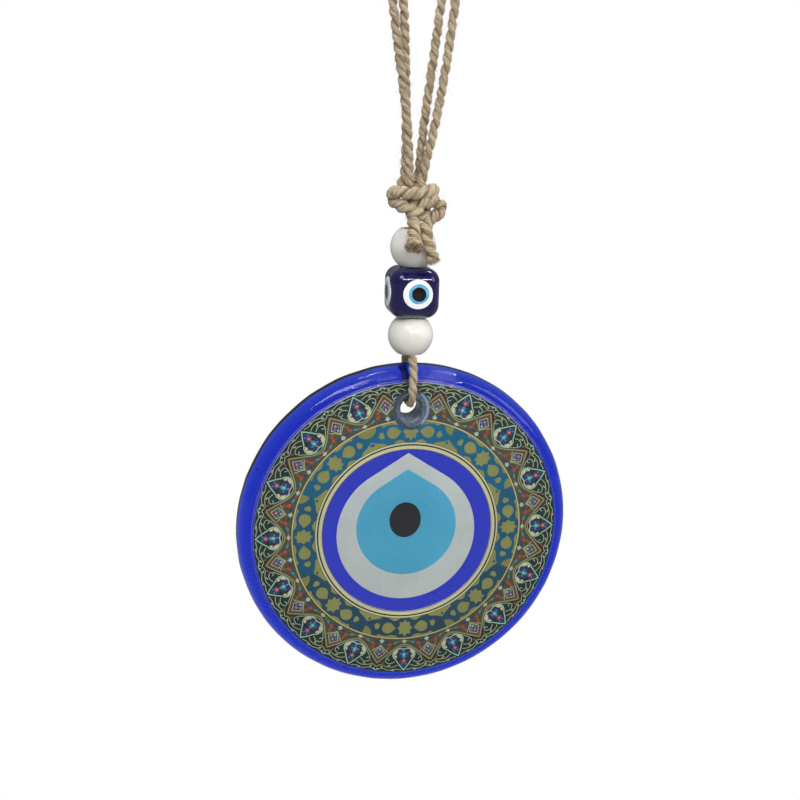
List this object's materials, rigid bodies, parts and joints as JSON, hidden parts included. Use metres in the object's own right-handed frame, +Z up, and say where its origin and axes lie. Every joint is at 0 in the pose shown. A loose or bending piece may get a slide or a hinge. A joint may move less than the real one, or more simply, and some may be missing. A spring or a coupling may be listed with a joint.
{
  "type": "evil eye ornament",
  "caption": "Round blue glass wall ornament with an eye in printed rings, a column of beads above it, hung from knotted loops of jute cord.",
  "frame": {"origin": "hang point: the inside of the two cord loops at their top, where they lie over a hook or nail", "axes": "+Z up, the ornament hangs straight down from the origin; -Y is the front, with the printed eye; +X to the right seen from the front"},
  "size_m": [0.11, 0.0201, 0.2675],
  "materials": {
    "cobalt_glass": "thick see-through cobalt glass, fire-polished, with a few tiny bubbles and specks",
    "printed_film": "printed decal film, fine ornamental rings round a drop-shaped eye",
    "clear_coat": "clear glossy poured coat",
    "white_glass": "opaque glossy white glass",
    "navy_glass": "opaque glossy dark blue glass",
    "light_blue_glass": "opaque glossy light blue glass",
    "black_glass": "opaque glossy black glass",
    "jute": "two-ply twisted jute with loose fibres"
  },
  "bodies": {
    "cord": {"bight_cord": "jute", "cord_knot": "jute", "outer_hanging_loop": "jute", "inner_hanging_loop": "jute", "left_cord_tail": "jute", "right_cord_tail": "jute"},
    "disc": {"glass_disc": "cobalt_glass", "print_film": "printed_film", "clear_coat": "clear_coat"},
    "lower_bead": {"lower_white_bead": "white_glass"},
    "eye_cube": {"cube_bead": "navy_glass", "cube_bead_eye_whites": "white_glass", "cube_bead_eye_irises": "light_blue_glass", "cube_bead_eye_pupils": "black_glass"},
    "upper_bead": {"upper_white_bead": "white_glass"}
  },
  "joints": [
    {"name": "disc_swing", "type": "hinge", "parent": "cord", "child": "disc", "pos_m": [0, 0, -0.1672], "axis": [0, 1, 0], "range_deg": [-20, 20]},
    {"name": "lower_bead_spin", "type": "hinge", "parent": "cord", "child": "lower_bead", "pos_m": [0, 0, -0.1458], "axis": [0, 0, 1], "continuous": true},
    {"name": "cube_bead_spin", "type": "hinge", "parent": "cord", "child": "eye_cube", "pos_m": [0, 0, -0.132], "axis": [0, 0, 1], "continuous": true},
    {"name": "upper_bead_spin", "type": "hinge", "parent": "cord", "child": "upper_bead", "pos_m": [0, 0, -0.1182], "axis": [0, 0, 1], "continuous": true}
  ]
}
